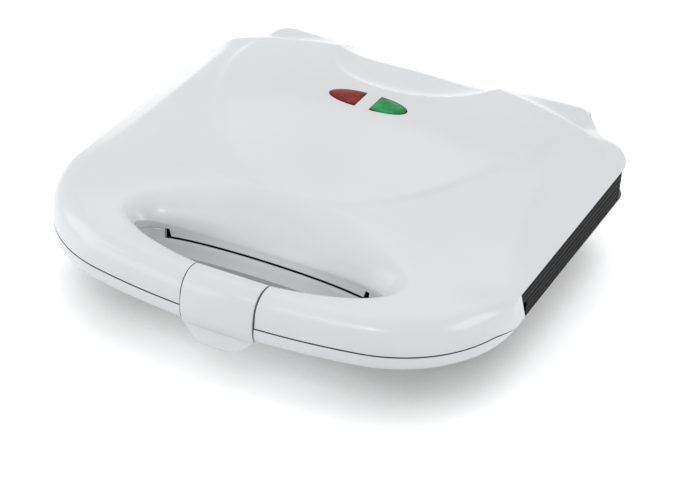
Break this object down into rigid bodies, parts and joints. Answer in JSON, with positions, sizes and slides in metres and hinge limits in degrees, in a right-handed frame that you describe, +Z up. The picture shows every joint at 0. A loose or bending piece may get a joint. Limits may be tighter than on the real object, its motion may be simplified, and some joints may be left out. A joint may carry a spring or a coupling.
{
  "type": "sandwich toaster",
  "caption": "Sandwich toaster with a hinged domed lid, loop handle, latch clip and two non-stick plates with triangular pockets.",
  "frame": {"origin": "on the table, under the middle of the toaster's length and width", "axes": "+X to the toaster's right seen from the handle, +Y from the handle towards the hinge, +Z up"},
  "size_m": [0.221, 0.2298, 0.0759],
  "materials": {
    "white_plastic": "glossy moulded white plastic",
    "black_plastic": "satin black heat-resistant plastic",
    "coated_plate": "cast aluminium with a dark non-stick coating",
    "steel": "plain zinc-plated or stainless steel",
    "element_steel": "heat-tinted steel sheath",
    "reflector": "bright rolled sheet",
    "rubber": "matt moulded rubber",
    "bakelite": "brown moulded phenolic",
    "ivory_plastic": "ivory heat-resistant plastic",
    "wire_red": "sleeved wire",
    "neon_glass": "small glass lamp",
    "red_plastic": "tinted clear red plastic",
    "green_plastic": "tinted clear green plastic"
  },
  "bodies": {
    "base": {"bottom_cover": "white_plastic", "lower_frame": "black_plastic", "lower_plate": "coated_plate", "lower_plate_screws": "steel", "lower_element": "element_steel", "lower_element_clips": "steel", "lower_reflector": "reflector", "bottom_screws": "steel", "rubber_feet": "rubber", "cord_inlet": "rubber", "terminal_block": "ivory_plastic", "lower_wiring": "wire_red"},
    "lid": {"top_cover": "white_plastic", "upper_frame": "black_plastic", "upper_plate": "coated_plate", "upper_plate_screws": "steel", "upper_element": "element_steel", "upper_element_clips": "steel", "upper_reflector": "reflector", "lid_screws": "steel", "thermostat": "bakelite", "thermal_fuse": "ivory_plastic", "lamp_holder": "ivory_plastic", "neon_lamps": "neon_glass", "red_lens": "red_plastic", "green_lens": "green_plastic", "upper_wiring": "wire_red", "hinge_pins": "steel", "latch_pin": "steel"},
    "latch": {"latch_clip": "white_plastic"}
  },
  "joints": [
    {"name": "lid_hinge", "type": "hinge", "parent": "base", "child": "lid", "pos_m": [0, 0.1045, 0.043], "axis": [-1, 0, 0], "range_deg": [0, 100]},
    {"name": "latch_pivot", "type": "hinge", "parent": "lid", "child": "latch", "pos_m": [0, -0.1035, 0.048], "axis": [-1, 0, 0], "range_deg": [0, 50]}
  ]
}
